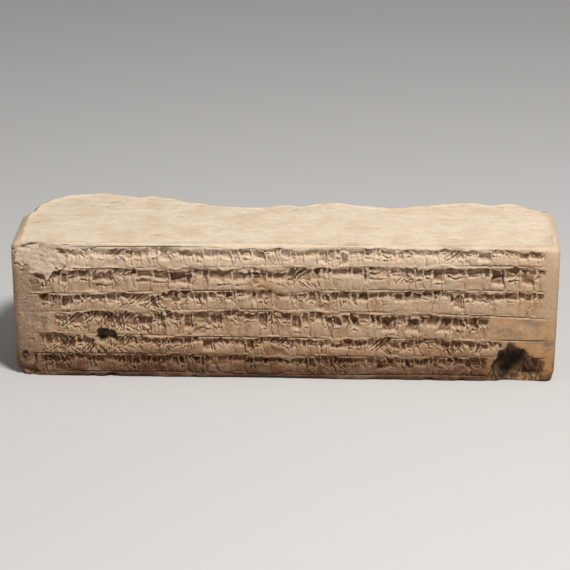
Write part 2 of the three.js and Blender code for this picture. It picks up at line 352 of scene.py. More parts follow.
class Face:
    """The relief of the inscribed face and its two corners, as depths on a grid.
    x runs on past both ends of the flat, along the corners' arcs."""

    def __init__(self):
        self.reach = FRONT_HALF + CORNER_RADIUS
        self.x = np.arange(-self.reach, self.reach + PITCH, PITCH)
        self.z = np.arange(0, THICKNESS + PITCH, PITCH)
        self.X, self.Z = np.meshgrid(self.x, self.z)
        self.depth = 0.25 + 0.1 * self.noise(22, 14, 4)
        self.pressed, self.pale, self.bare = (np.zeros(self.X.shape) for _ in range(3))
        # places a little out of true, for strokes made by hand
        self.wx = self.X + 0.6 * self.noise(4, 3, 1) + 0.35 * self.noise(1.1, 1.1, 20)
        self.wz = self.Z + 0.5 * self.noise(5, 2.5, 2) + 0.35 * self.noise(1, 1, 19)

    def noise(self, size_x, size_z, seed):
        """Chance relief over the whole grid."""
        return noise(self.X.shape, PITCH, size_x, size_z, seed)

    def at(self, field, x, z):
        """A field of the grid, at places x, z."""
        return sampled(field, (x + self.reach) / PITCH, z / PITCH)

    def columns(self, first, last):
        """The grid's columns between two places along the face."""
        return np.clip(((np.array([first, last]) + self.reach) / PITCH).astype(int), 0, len(self.x))

    def press(self, head, tail, weight):
        """Presses one stroke as the solid has it: a wide deep head with a steep far wall, and a thin tail."""
        head, tail = np.array(head), np.array(tail)
        length = np.linalg.norm(tail - head)
        along = (tail - head) / length
        half_width = HEAD_WIDTH * weight / 2
        low = np.minimum(head, tail) - half_width - 1
        high = np.maximum(head, tail) + half_width + 1
        i0, i1 = self.columns(low[0], high[0])
        j0, j1 = np.clip((np.array([low[1], high[1]]) / PITCH).astype(int), 0, len(self.z))
        dx = self.wx[j0:j1, i0:i1] - head[0]
        dz = self.wz[j0:j1, i0:i1] - head[1]
        s = dx * along[0] + dz * along[1]
        t = np.abs(dz * along[0] - dx * along[1])
        deepest = HEAD_WIDTH * weight * DEEPEST
        side = half_width * (1 - s / length) - t
        side_at_deepest = half_width * (1 - deepest / length)
        wedge = np.minimum(s / deepest, side / side_at_deepest)
        wedge = wedge * (STROKE_DEPTH * weight + CUTTER_LIFT) - CUTTER_LIFT
        tail_depth = 0.75 * weight * (1 - 0.5 * s / length)
        groove = np.where((s > 0) & (s < length), tail_depth * (1 - t / 0.65), 0)
        window = self.pressed[j0:j1, i0:i1]
        np.maximum(window, np.maximum(wedge, groove), out=window)


class Stretch:
    """A stretch of a row, for the strokes that crowd it round the solid's own.
    down is the grid's distance below the row's ruled line, height is the row's, along is 1 where the row is
    written and force scales the strokes' depth."""

    def __init__(self, face, start, stop, down, height, along, force):
        i0, i1 = face.columns(start - 5, stop + 5)
        here = np.s_[:, i0:i1]
        self.x, self.down, self.height, self.along = face.wx[here], down[here], height[here], along[here]
        self.written = self.along * smoothstep(0.3, 0.9, self.down)
        self.written = self.written * (1 - smoothstep(-0.7, -0.1, self.down - self.height))
        self.depth, self.pressed, self.pale = face.depth[here], face.pressed[here], face.pale[here]
        self.force = force

    def press(self, shape, amount):
        """Presses a shape of up to 1 in by the amount."""
        np.maximum(self.pressed, self.force * amount * np.clip(shape, 0, 1) * self.written, out=self.pressed)

    def wedge(self, place, top, tall, breadth, amount, lean):
        """The head of an upright stroke: broad at the top, narrower and shallower down to its tip."""
        share = (self.down - top) / tall
        away = np.abs(self.x - place - lean * (self.down - top))
        side = breadth / 2 * (1 - share) - away
        self.press(np.minimum(share * tall / 0.5, side / 0.7) * (1 - 0.6 * np.clip(share, 0, 1)), amount)
        tail = np.clip(1 - away / 0.5, 0, 1)
        self.press(tail * bump(self.down, top, top + 1.9 * tall, 0.8), 0.45 * amount)

    def level(self, first, middle, length, thick, amount):
        """A level stroke, with its head at the left: steep above and easy below."""
        share = (self.x - first) / length
        upper, lower = middle - thick * (0.5 - 0.35 * share), middle + thick * (0.5 - 0.4 * share)
        walls = np.minimum((self.down - upper) / 0.4, (lower - self.down) / 0.9)
        ends = np.minimum(share * length / 0.5, (1 - share) * 4)
        self.press(np.minimum(walls, ends) * (1 - 0.5 * np.clip(share, 0, 1)), amount)

    def slanting(self, place, top, tall, slope, amount):
        """A thin stroke that slants down to the left, or to the right where the slope is negative."""
        away = np.abs(self.x + slope * (self.down - top) - place)
        share = np.clip((self.down - top) / tall, 0, 1)
        thin = 1 - away / (1.1 - 0.7 * share)
        self.press(thin * bump(self.down, top, top + tall, 0.4) * (1 - 0.4 * share), amount)

    def upright(self, place, top, low, amount):
        """A thin pale wall with a groove at its right."""
        reach = self.along * bump(self.down, top, low, 0.6)
        ridge = np.exp(-(((self.x - place + 0.7) / 0.45) ** 2)) * reach
        groove = np.exp(-(((self.x - place) / 0.35) ** 2)) * reach
        self.depth += amount * (0.45 * groove - 1.5 * ridge)
        self.pale[:] = np.maximum(self.pale, ridge)

    def floor(self, start, stop, top, low, lift):
        """The shallow floor that the strokes of one cell share."""
        shape = smoothstep(top, top + 0.5, self.down) * (1 - smoothstep(low, low + 1.2 + 1.4 * lift, self.down))
        self.press(shape * bump(self.x, start + 0.3, stop - 0.2, 0.35), 0.7 + 1.1 * lift)

    def cushion(self, middle, width, low, share, lean):
        """The clay that swells up under the strokes of one cell, tilted to one side."""
        dome = np.clip(1 - ((self.x - middle - width * lean / 3) / (0.62 * width)) ** 2, 0, 1) ** 0.5
        ends = 1 - smoothstep(self.height - 1.2, self.height - 0.1, self.down)
        swell = smoothstep(low + 0.4, low + 2.6, self.down) * ends
        self.depth -= (0.7 + 0.9 * share) * dome * swell * self.written
        self.depth += 0.45 * lean * (self.x - middle) * dome * swell


def crowd(stretch, start, stop, random, size, jumble):
    """Fills a stretch with cells: strokes at the top, a cushion of clay below and thin walls between.
    size scales the cells, and jumble is the share of them that holds slanting strokes."""
    height = stretch.height
    while start < stop - 2:
        width = min(stop - start, (CELL_LEAST + CELL_SPREAD * next(random)) * size)
        if stop - start - width < CELL_SLIVER * size:
            width = stop - start
        kind, share, lift, lean = next(random), next(random), next(random), next(random) - 0.5
        top = (0.05 + 0.2 * lift**2) * height
        tall = (0.2 + 0.36 * share**2) * height
        amount = 1.9 + 2.3 * next(random)
        middle = start + width / 2
        low = top + 0.9 * tall + 0.1 * height * lean
        if lift + share > 0.3:
            stretch.floor(start, start + width, top, low, lift)

        # the strokes at the top of the cell
        if next(random) < jumble:
            slope = (0.4 + 0.7 * share) * (1 if lean > -0.2 else -1)
            for k in range(2 + round(2.2 * share)):
                odd = k % 2
                stretch.slanting(start + 1.5 + 2 * k * size, top + 1.2 * odd, 1.1 * tall + 1, slope, amount)
                lower = low + 1.4 + 0.8 * odd
                stretch.slanting(start + 2 + 2.3 * k * size, lower, 0.22 * height, -slope, 0.6 * amount)
        elif kind < 0.36:
            stretch.wedge(middle + width * lean / 3, top, tall, 1.05 * width, amount, lean / 2)
        elif kind < 0.5:
            stretch.wedge(start + width / 4, top, 0.8 * tall, width / 2, amount, lean / 4)
            stretch.wedge(start + 3 * width / 4, top + lift, tall, width / 2, 0.8 * amount, lean / 4)
        elif kind < 0.68:
            for k in range(2 + round(1.3 * share)):
                stretch.level(start + 0.3, top + (1 + 2.7 * k) * size, width, 2 * size, amount * (1 - 0.2 * k))
        elif kind < 0.86:
            stretch.level(start + 0.2, top + 0.5 * tall, width, tall, amount)
            stretch.wedge(start + 0.8 * width, top + 0.3 * tall, tall, 0.4 * width, 0.8 * amount, lean / 4)
        elif kind < 0.93:
            stretch.level(start + 0.2, top + 0.7 * tall, 1.3 * width, 0.8 * tall, 0.7 * amount)

        # the cushion below, at times with a short stroke across it, and the walls
        stretch.cushion(middle, width, low, share, lean)
        if 0.25 < lift < 0.65:
            place = start + width * share / 3
            stretch.level(place, low + (1.8 + share) * size, 0.8 * width, 1.9 * size, 0.8 * amount)
        if lift > 0.75:
            place = start + width * share / 2
            stretch.level(place, low + (3.4 + share) * size, 0.7 * width, 1.6 * size, 0.7 * amount)
        if share < 0.2:
            place = start + (0.3 + share) * width
            stretch.wedge(place, low + 1, 0.35 * height, 2.6 * size, 0.6 * amount, lean)
        if lift + share > 0.6:
            place = start + width + 0.1 * lean * stretch.down
            stretch.upright(place, top - 0.5, (0.5 + 0.7 * share) * height, 0.5 + 0.7 * lift)
        if lift > 0.75:
            stretch.upright(start + width * (0.3 + 0.5 * share), top + 0.6, (0.6 + 0.4 * lift) * height, 0.6)
        start += width


def write_rows(face, lines):
    """Presses the solid's strokes, and the pits and cushions that crowd the rows round them."""
    random, extra = numbers_from(STROKE_SEED), numbers_from(CROWD_SEED)
    for row, (begin, end, size, force, jumbled) in enumerate(CROWDING):
        strokes, spans = row_strokes(row, random)
        spans.append((spans[-1][1] + SIGN_GAP, end))
        down = lines[row] - face.wz
        height = lines[row] - lines[row + 1]
        past_end = face.X + 0.15 * down
        along = smoothstep(begin - 2, begin + 3, face.X) * (1 - smoothstep(end - 1, end + 2, past_end))
        ease = np.clip(1.6 + 1.4 * face.noise(6, 3, 60 + row), 0.5, 4.5)
        recess = ROW_RECESS * along * smoothstep(0.2, 0.2 + ease, down)
        face.depth += recess * (1 - smoothstep(height - 0.9, height - 0.1, down))
        face.depth += 0.35 * along * bump(down, 1.5, height - 1, 1) * face.noise(4, 2.2, 70 + row)
        for start, stop in spans:
            stretch = Stretch(face, start - 0.8, stop + 0.5, down, height, along, force)
            jumble = jumbled if stop < JUMBLED_TO else FEW_JUMBLED
            crowd(stretch, start - 0.8, stop + 0.5, extra, size, jumble)
        if row in SHORT_ROWS:
            bare = smoothstep(end - 1, end + 6, past_end) * bump(down, 0.5, height - 0.5, 1)
            face.bare = np.maximum(face.bare, bare)
        for head, tail, weight in strokes:
            face.press(head, tail, 0.8 * weight)
        face.depth += 0.14 * along * bump(down, 0.8, 0.65 * height, 0.8) * face.noise(1.6, 0.6, 40 + row)
        face.depth += 0.05 * along * bump(down, 0.3 * height, height - 0.6, 0.8) * face.noise(0.6, 2, 50 + row)
    pressed = np.clip(face.pressed, 0, None)
    face.depth += 0.9 * pressed

    # clay pushed up round the strokes
    rim = np.clip(blurred(pressed, PITCH, 1.1, 0.9) - blurred(pressed, PITCH, 0.3, 0.3), 0, None)
    face.depth -= 0.6 * rim


def rule(face, lines):
    """Scores the ruled lines, each with a lip under it, and gives how strongly each place is scored."""
    scored = np.zeros(face.X.shape)
    within = smoothstep(ROW_LEFT - 8, ROW_LEFT - 2, face.X)
    within = within * (1 - smoothstep(FRONT_HALF - 12, FRONT_HALF - 5, face.X))
    uneven = np.clip(0.75 + 0.5 * face.noise(10, 3, 5), 0, 1.4)
    for row, line in enumerate(lines):
        # the first line is worn away towards the right
        fade = within * (1 - 0.75 * smoothstep(-60, 10, face.X)) if row == 0 else within
        strength = fade * uneven
        away = face.Z - line
        groove = strength * np.clip(1 - np.abs(away) / LINE_HALF_WIDTH, 0, 1)
        face.depth += LINE_DEPTH * groove
        scored = np.maximum(scored, groove)
        face.depth -= LIP_HEIGHT * strength * np.exp(-(((away + LIP_DROP) / 0.35) ** 2))
    return scored


def wear_down(face):
    """Wears the relief unevenly, adds its grain, and gives how sandy each place is: most at the left end."""
    worn = blurred(face.depth, PITCH, 0.6, 0.5)
    near_left = 1 - smoothstep(ROW_LEFT, ROW_LEFT + 25, face.X)
    wear = smoothstep(1.3, 2.6, face.noise(12, 6, 6) + 0.8 * near_left)
    crisp = face.depth + 0.5 * (face.depth - blurred(face.depth, PITCH, 0.6, 0.6))
    face.depth = crisp * (1 - wear) + worn * wear
    face.depth += 0.09 * wear * face.noise(0.7, 0.6, 7) + 0.09 * face.noise(2.2, 1.5, 8)
    sandy = 1 - smoothstep(ROW_LEFT - 4, ROW_LEFT + 22, face.X)
    sand = 0.12 * face.noise(0.7, 0.6, 25) + 0.12 * face.noise(3, 2, 32)
    face.depth += sandy * (0.5 + sand + 0.5 * smoothstep(1.8, 2.6, face.noise(0.8, 0.7, 26)))
    return sandy


def flake_off(face, wx, wz):
    """The flaked patch at the upper left, with a shadowed step below it and cracks over it."""
    spall = inside(SPALL, wx, wz, 0.4)
    flaky = 0.3 * np.abs(face.noise(3, 2, 13)) + 0.3 * np.abs(face.noise(1.3, 0.9, 27))
    flaky += 0.15 * face.noise(0.6, 0.5, 14) + 0.45 * smoothstep(0.3, 0.5, face.noise(4, 2.5, 38))
    floor = 0.6 + 0.25 * face.noise(9, 6, 34) + flaky
    face.depth = face.depth * (1 - spall) + np.maximum(floor, 0.2) * spall
    rows_down = round(STEP_BELOW / PITCH)
    step = np.zeros(spall.shape)
    step[:-rows_down] = spall[rows_down:]
    step = np.clip(step - spall, 0, 1) * bump(face.X, -183, -145, 2)
    face.depth += 1.7 * step * smoothstep(-1, 0.6, face.noise(4, 2, 35))
    crack = np.zeros(spall.shape)
    for height, first, last in CRACKS:
        away = face.Z - height - 0.7 * face.noise(3, 1, 30) - 0.06 * (face.X - first)
        crack = np.maximum(crack, np.exp(-((away / 1.1) ** 2)) * bump(face.X, first, last, 2))
    crack *= smoothstep(-1.6, -0.2, face.noise(2, 2, 31))
    face.depth += 4.5 * crack
    return spall, np.maximum(crack, step)


def break_arris(face, wx, wz):
    """The broken arris at the lower right: crumbly, darkest at its heart, with a lip at its foot. The masks it gives
    paint shade: darker deeper in and darkest at its heart.
    """
    X, Z = face.X, face.Z
    chip = inside(CHIP, (X + wx) / 2, (Z + wz) / 2, 1.3)
    floor = 1.5 + 8.5 * inside(CHIP, X, Z, 9) * hill(X - CHIP_DEEPEST[0], Z - CHIP_DEEPEST[1], 17, 17)
    floor += 1.1 * face.noise(2, 3.5, 15) + 0.7 * np.abs(face.noise(0.9, 2, 16))
    floor *= 0.35 + 0.65 * smoothstep(0, 6, Z)
    heart = chip * hill(wx - CHIP_HEART[0] - 0.3 * (Z - CHIP_HEART[1]), wz - 12, 9, 13)
    face.depth += 2.5 * heart
    face.depth = np.maximum(face.depth, floor * chip)
    return chip, heart, chip * smoothstep(0.3, 2.5, floor)


def inscribed_face():
    """Works out the relief of the face, and the masks that colour it."""
    face = Face()
    lines = np.array([ruling_height(ruling, face.X) for ruling in RULINGS])
    lines = lines + 0.4 * face.noise(34, 8, 2) + 0.12 * face.noise(8, 3, 3)
    write_rows(face, lines)
    scored = rule(face, lines)
    deep = np.clip(face.depth, 0, None)
    sandy = wear_down(face)

    # damage, with ragged outlines
    wx = face.X + 1.6 * face.noise(3, 3, 9) + 0.8 * face.noise(1, 1, 10)
    wz = face.Z + 1.3 * face.noise(3, 3, 11) + 0.7 * face.noise(1, 1, 12)
    ragged = face.noise(2.2, 1.8, 33)
    spall, shadowed = flake_off(face, wx + 0.9 * ragged, wz + 1.2 * ragged)
    chip, heart, crumbled_and_shaded = break_arris(face, wx, wz)
    hole = inside(HOLE, wx + 0.7 * ragged, wz + 0.7 * ragged, 0.6)
    hole_floor = 5 * inside(HOLE, wx, wz, 3) + 1.1 * np.abs(face.noise(1.3, 1, 28))
    face.depth = np.maximum(face.depth, hole_floor * hole)
    clump = smoothstep(0.3, 0.8, hill(wx - CLUMP[0], wz - CLUMP[1], 9, 3.6)) * (1 - hole)
    face.depth = face.depth * (1 - clump) + clump * (0.5 + 0.4 * face.noise(2, 1.4, 29))
    corner = inside(CORNER_CHIP, wx, wz, 2)
    corner_floor = 1.7 + 0.9 * face.noise(3, 3, 17) + 1.5 * np.abs(face.noise(1.2, 1.2, 18))
    face.depth = np.maximum(face.depth, corner_floor * corner)
    pebble = smoothstep(0.3, 0.6, hill(wx - PEBBLE[0], wz - PEBBLE[1], 2.6, 2.2))
    face.depth = face.depth * (1 - pebble) + (0.3 + 0.2 * face.noise(1, 1, 36)) * pebble
    stain = hill(face.X - STAIN[0], face.Z - STAIN[1], 9, 4.5) * (1 + 0.4 * face.noise(3, 2, 37))

    # nothing stands proud of the solid's face: what would is rounded off just inside it
    rounded = SOFTNESS * np.log1p(np.exp(np.minimum(face.depth / SOFTNESS, UNTOUCHED)))
    face.depth = rounded + np.maximum(face.depth - SOFTNESS * UNTOUCHED, 0)
    face.masks = {
        # dark brown painted shade in the deep places, along the ruled lines, and in the step and cracks of the flaked
        # patch
        "painted_shade": np.maximum(np.maximum(smoothstep(1.6, 3.4, deep), 0.8 * scored) * (1 - spall), shadowed),
        "raised": np.maximum(1 - smoothstep(0.3, 1.1, deep), 2 * face.pale) * (1 - spall),
        "flake": spall,
        # broken clay's colour, laid on more strongly deeper in the chip as painted shade
        "fracture_and_shade": np.clip(np.maximum(crumbled_and_shaded, 0.65 * corner), 0, 1),
        # painted shade, near black, at the chip's heart and in the hole
        "hollow_shade": np.clip(1.5 * heart + 0.8 * hole, 0, 1),
        "clump": clump,
        "pebble": pebble,
        "stain": np.clip(stain, 0, 1),
        "sandy": np.maximum(sandy * (1 - spall), corner),
        "bare": face.bare * (1 - chip),
    }
    return face


def spline(points, t):
    """Points of a Catmull-Rom curve through the given points, at t from 0 to 1."""
    p = (len(points) - 1) * np.asarray(t)
    i = np.minimum(p.astype(int), len(points) - 2)
    w = (p - i)[:, None]
    p0, p1 = points[np.maximum(i - 1, 0)], points[i]
    p2, p3 = points[i + 1], points[np.minimum(i + 2, len(points) - 1)]
    v0, v1 = (p2 - p0) / 2, (p3 - p1) / 2
    return (2 * p1 - 2 * p2 + v0 + v1) * w**3 + (-3 * p1 + 3 * p2 - 2 * v0 - v1) * w**2 + v0 * w + p1


def break_route():
    """The break's plan as a function of the share of its length, from the right end to the left."""
    plan = np.array([(x * HALF, y * DEPTH) for x, y in reversed(BREAK_PLAN)])
    dense = spline(plan, np.linspace(0, 1, 3201))
    travelled = np.concatenate([[0], np.cumsum(np.hypot(*np.diff(dense, axis=0).T))])
    total = travelled[-1]
    return total, lambda share: np.stack([np.interp(share * total, travelled, dense[:, k]) for k in (0, 1)], 1)


def bed_levels():
    """Heights of the solid's rings."""
    arris = [ARRIS_RADIUS * (1 - math.cos(math.pi / 2 * i / ARRIS_STEPS)) for i in range(ARRIS_STEPS + 1)]
    rise = THICKNESS - 2 * ARRIS_RADIUS
    count = round(rise / BED_STEP)
    middle = [ARRIS_RADIUS + rise * i / count for i in range(1, count)]
    return np.array(arris + middle + [THICKNESS - z for z in reversed(arris)])


def arc(centre, start, angles):
    """Points of a corner's arc in plan."""
    x = centre + CORNER_RADIUS * np.cos(start + angles)
    return np.stack([x, CORNER_RADIUS + CORNER_RADIUS * np.sin(start + angles)], 1)


def straight(a, b):
    """Points between a and b, without those two."""
    count = round(np.linalg.norm(b - a) / SIDE_STEP)
    return a + (b - a) * np.linspace(0, 1, count + 1)[1:-1, None]


class Outline:
    """The block's outline seen from above, anticlockwise, in fine steps, with what the solid's rings say there:
    inward normals, how far a point belongs to the break, and the facets' offsets."""

    def __init__(self):
        total, route = break_route()
        facets = round(total / BREAK_FACET)
        corner = np.linspace(0, math.pi / 2, CORNER_STEPS + 1)
        left_centre, right_centre = CORNER_RADIUS - FRONT_HALF, FRONT_HALF - CORNER_RADIUS

        # the solid's rings
        coarse = np.concatenate([
            arc(left_centre, math.pi, corner),
            arc(right_centre, 1.5 * math.pi, corner),
            route(np.linspace(0, 1, facets + 1)),
        ])
        before, after = np.roll(coarse, 1, axis=0), np.roll(coarse, -1, axis=0)
        inward = np.stack([before[:, 1] - after[:, 1], after[:, 0] - before[:, 0]], 1)
        inward /= np.linalg.norm(inward, axis=1)[:, None]
        ordinal = np.arange(facets + 1)
        broken = np.clip(np.minimum(ordinal, facets - ordinal) / BREAK_BLEND, 0, 1)
        broken = np.concatenate([np.zeros(2 * len(corner)), broken])
        random = numbers_from(FACET_SEED)
        self.levels = bed_levels()
        offsets = np.array([[2 * next(random) - 1 for _ in coarse] for _ in self.levels])

        # fine steps along each stretch, and the place of each on the solid's rings
        arc_length = CORNER_RADIUS * math.pi / 2
        arc_angles = np.linspace(0, math.pi / 2, round(arc_length / ARC_STEP) + 1)
        flat_steps = round((right_centre - left_centre) / FRONT_STEP)
        flat = np.linspace(left_centre, right_centre, flat_steps + 1)[1:-1]
        right_end, left_end = coarse[2 * len(corner) - 1], coarse[0]
        break_start, break_end = route(np.array([0.0, 1.0]))
        shares = np.linspace(0, 1, round(total / BREAK_STEP) + 1)
        right_side, left_side = straight(right_end, break_start), straight(break_end, left_end)
        stretches = [
            arc(left_centre, math.pi, arc_angles),
            np.stack([flat, np.zeros(len(flat))], 1),
            arc(right_centre, 1.5 * math.pi, arc_angles),
            right_side,
            route(shares),
            left_side,
        ]
        n = len(corner)
        index = np.concatenate([
            np.linspace(0, n - 1, len(arc_angles)),
            np.full(len(flat), float(n - 1)),
            np.linspace(n, 2 * n - 1, len(arc_angles)),
            2 * n - 1 + np.linspace(0, 1, len(right_side) + 2)[1:-1],
            2 * n + shares * facets,
            2 * n + facets + np.linspace(0, 1, len(left_side) + 2)[1:-1],
        ])
        kind = np.concatenate([np.full(len(s), k) for k, s in enumerate(stretches)])
        self.points = np.concatenate(stretches)
        self.front = kind <= 2

        # along the face, x runs on round the corners by arc length
        self.x = self.points[:, 0].copy()
        self.x[kind == 0] = left_centre - (math.pi / 2 - arc_angles) * CORNER_RADIUS
        self.x[kind == 2] = right_centre + arc_angles * CORNER_RADIUS
        steps = np.hypot(*(np.roll(self.points, -1, axis=0) - self.points).T)
        self.travel = np.concatenate([[0], np.cumsum(steps)[:-1]])
        self.round = steps.sum()

        def at(values):
            return np.interp(index, np.arange(len(coarse) + 1), np.concatenate([values, values[:1]]))

        self.broken = np.clip(at(broken), 0, 1)
        self.offsets = np.stack([at(row) for row in offsets])
        inward = np.stack([at(inward[:, 0]), at(inward[:, 1])], 1)
        for k, centre in ((0, left_centre), (2, right_centre)):
            inward[kind == k] = (np.array([centre, CORNER_RADIUS]) - self.points[kind == k]) / CORNER_RADIUS
        inward[kind == 1] = (0, 1)
        self.inward = inward / np.hypot(*inward.T)[:, None]

    def facet(self, z):
        """The solid's facet offsets at the heights z, for every point of the outline."""
        row = np.interp(z, self.levels, np.arange(len(self.levels)))
        r0 = np.minimum(row.astype(int), len(self.levels) - 2)
        t = (row - r0)[:, None]
        t = t * t * (3 - 2 * t)
        return self.offsets[r0] * (1 - t) + self.offsets[r0 + 1] * t


def level_heights():
    """Heights of the fine rings, close together at both beds, where the arris turns over."""
    near = [0, 0.04, 0.12, 0.26, 0.46, 0.72, 1.02, 1.36, 1.76]
    start = near[-1]
    middle = np.linspace(start, THICKNESS - start, round((THICKNESS - 2 * start) / FRONT_STEP) + 1)[1:-1]
    return np.array(near + list(middle) + [THICKNESS - z for z in reversed(near)])


def edge_inset(z, radius):
    """How far a rounded edge draws in, for heights z (rows) and radii (columns)."""
    from_bed = np.minimum(z, THICKNESS - z)[:, None]
    gap = np.clip(radius[None, :] - from_bed, 0, None)
    return radius[None, :] - np.sqrt(np.clip(radius[None, :] ** 2 - gap**2, 0, None))


def worn_edges(outline, z):
    """How far the arrises draw in: worn unevenly, most at the face's corners, and only dulled on the break."""
    grid = (4, math.ceil(outline.round / ROUND_PITCH) + 2)

    def wear_along(size, seed):
        columns = outline.travel / ROUND_PITCH
        return sampled(noise(grid, ROUND_PITCH, size, 1, seed), columns, np.zeros(len(columns)))

    fine_wear = wear_along(2.5, 22)
    uneven = 0.75 + 0.28 * wear_along(9, 21) + 0.16 * fine_wear
    blend = smoothstep(0, 0.4, outline.broken)
    dulled = BREAK_EDGE_RADIUS * np.clip(1 + 0.4 * fine_wear, 0.4, 2) * blend

    def arris(left_wear, right_wear):
        corners = left_wear * np.exp(-(((outline.x + HALF) / 9) ** 2))
        corners += right_wear * np.exp(-(((outline.x - HALF) / 9) ** 2))
        corners *= outline.points[:, 1] < DEPTH / 4
        return edge_inset(z, ARRIS_RADIUS * np.clip(uneven + corners, 0.35, 1.3) * (1 - blend) + dulled)

    return np.where(z[:, None] < THICKNESS / 2, arris(1.3, 1.6), arris(0.7, 1))


def break_relief(outline, below, facets, around):
    """How far the break lies inside the outline: the solid's facets, with crags and grit on them."""
    lean = BREAK_LEAN * below * (0.55 + 0.45 * np.sin(4 * outline.points[:, 0] / HALF + 1))
    rough = FACET_DEPTH * np.minimum(1, below * 5) * facets
    crags = 1.1 * np.abs(around(7, 5, 31)) + 0.6 * np.abs(around(3.2, 2.8, 32)) + 0.25 * around(1.6, 1.5, 40)
    pits = 1.5 * smoothstep(1.9, 2.6, around(1.8, 1.6, 34))
    from_top = smoothstep(0, 0.05, below)
    return outline.broken * (lean + rough + (crags + pits) * (0.3 + 0.7 * from_top))


def skin(face, outline):
    """The points of the skin between the two beds, by rings, and the masks there."""
    z = level_heights()
    shape = (len(z), len(outline.points))
    below = ((THICKNESS - z) / THICKNESS)[:, None]

    # chance relief over the whole way round, on a grid of its own
    grid = (math.ceil(THICKNESS / ROUND_PITCH) + 2, math.ceil(outline.round / ROUND_PITCH) + 2)
    columns = np.broadcast_to(outline.travel / ROUND_PITCH, shape)
    rows = np.broadcast_to((z / ROUND_PITCH)[:, None], shape)

    def around(size_x, size_z, seed):
        return sampled(noise(grid, ROUND_PITCH, size_x, size_z, seed), columns, rows)

    # the ends, smoothed by hand: faint drags, a few pits
    relief = 0.15 + 0.08 * around(18, 9, 35) + 0.05 * around(6, 1.2, 36)
    relief = relief + 0.8 * smoothstep(2.3, 2.9, around(1.1, 1.0, 38))
    relief = np.clip(relief, 0.02, None) * (1 - outline.broken)

    # the inscribed face and its corners
    masks = {name: np.zeros(shape) for name in face.masks}
    front = outline.front
    face_x = np.broadcast_to(outline.x[front], (len(z), front.sum()))
    face_z = np.broadcast_to(z[:, None], face_x.shape)
    relief[:, front] = face.at(face.depth, face_x, face_z)
    for name, field in face.masks.items():
        masks[name][:, front] = face.at(field, face_x, face_z)

    chips = np.zeros(shape)
    for place, width, height, depth in ARRIS_CHIPS:
        away = ((outline.x - place) / width) ** 2 + (z[:, None] / height) ** 2
        chips = np.maximum(chips, np.where(front, depth * np.clip(1 - away, 0, 1) ** 0.7, 0))
    chips *= 0.8 + 0.2 * around(1.5, 1.5, 39)

    edge = worn_edges(outline, z)
    broken = edge + break_relief(outline, below, outline.facet(z), around)
    inset = np.maximum(edge, relief) * (1 - outline.broken) + broken * outline.broken
    inset = np.maximum(inset, chips)
    position = outline.points[None, :, :] + inset[:, :, None] * outline.inward[None, :, :]
    drawn_in = END_LEAN * below + FOOT_WEAR * np.clip(1 - z[:, None] / FOOT_HEIGHT, 0, 1) ** 2
    shoulder = np.where(outline.points[:, 0] < 0, LEFT_SHOULDER, RIGHT_SHOULDER)
    drawn_in = drawn_in + shoulder * np.clip(1 - (THICKNESS - z[:, None]) / SHOULDER_HEIGHT, 0, 1) ** 2
    position[:, :, 0] *= 1 - drawn_in / HALF
    points = np.concatenate([position, np.broadcast_to(z[:, None, None], (*shape, 1))], 2)
    masks["break"] = np.broadcast_to(smoothstep(0.1, 0.7, outline.broken), shape).copy()
    # the arris chips' depth, which paints shade in them
    masks["chips"] = np.clip(chips / 1.5, 0, 1)
    return points, masks


def bed_pits(x, y):
    """How far a point lies inside one of the upper bed's pits, from 0 to 1."""
    share = np.zeros(np.shape(x))
    for px, py, size in BED_PITS:
        share = np.maximum(share, hill(x - px, y - py, size, 0.6 * size))
    return share


def bed_relief(x, y, upper):
    """How far a bed lies inside its plane, at points x, y."""
    shape = (math.ceil(DEPTH / BED_PITCH) + 8, math.ceil(LENGTH / BED_PITCH) + 8)
    columns, rows = (x + HALF + 3) / BED_PITCH, (y + 3) / BED_PITCH

    def at(size_x, size_y, seed):
        return sampled(noise(shape, BED_PITCH, size_x, size_y, seed), columns, rows)

    if upper:
        relief = 0.4 + 0.15 * at(25, 14, 51) + 0.06 * at(9, 3, 52) + 0.06 * at(3, 2.4, 53)
        relief = relief + 1.2 * bed_pits(x, y)
    else:
        relief = 0.3 + 0.16 * at(20, 12, 55) + 0.12 * at(2.5, 2.5, 56) + 0.9 * smoothstep(2.2, 3.0, at(2, 2, 57))
    return np.clip(relief, 0.02, None)


def bed(ring, upper):
    """A bed inside its ring of points: grid points and triangles. Triangles count the ring's points first."""
    low, high = ring.min(0), ring.max(0)
    xs = np.arange(low[0], high[0], BED_GRID)
    ys = np.arange(low[1], high[1], BED_GRID)
    gx, gy = np.meshgrid(xs, ys)
    gx = gx + np.where(np.arange(len(ys))[:, None] % 2, BED_GRID / 2, 0)
    well_inside = inside(ring[::4, :2], gx, gy, BED_GRID * 0.9) > 0.93
    grid = np.stack([gx[well_inside], gy[well_inside]], 1)
    if upper:
        # rings of points round each pit
        angle = np.linspace(0, 2 * math.pi, 9)[:-1]
        for px, py, size in BED_PITS:
            grid = grid[np.hypot(grid[:, 0] - px, grid[:, 1] - py) > 2.2 * size + 0.5]
            for reach in (0.5, 1, 1.7, 2.2):
                ring_x, ring_y = px + reach * size * np.cos(angle), py + 0.8 * reach * size * np.sin(angle)
                grid = np.concatenate([grid, np.stack([ring_x, ring_y], 1)])
            grid = np.concatenate([grid, [(px, py)]])
    flat = [Vector(p) for p in ring[:, :2]] + [Vector(p) for p in grid]
    verts, _, faces, _, _, _ = delaunay_2d_cdt(flat, [], [list(range(len(ring)))], 1, 1e-7)
    if len(verts) != len(flat):
        raise ValueError(f"a bed's outline crosses itself: {len(verts)} points from {len(flat)}")
    triangles = np.array(faces)
    return grid, triangles if upper else triangles[:, ::-1]


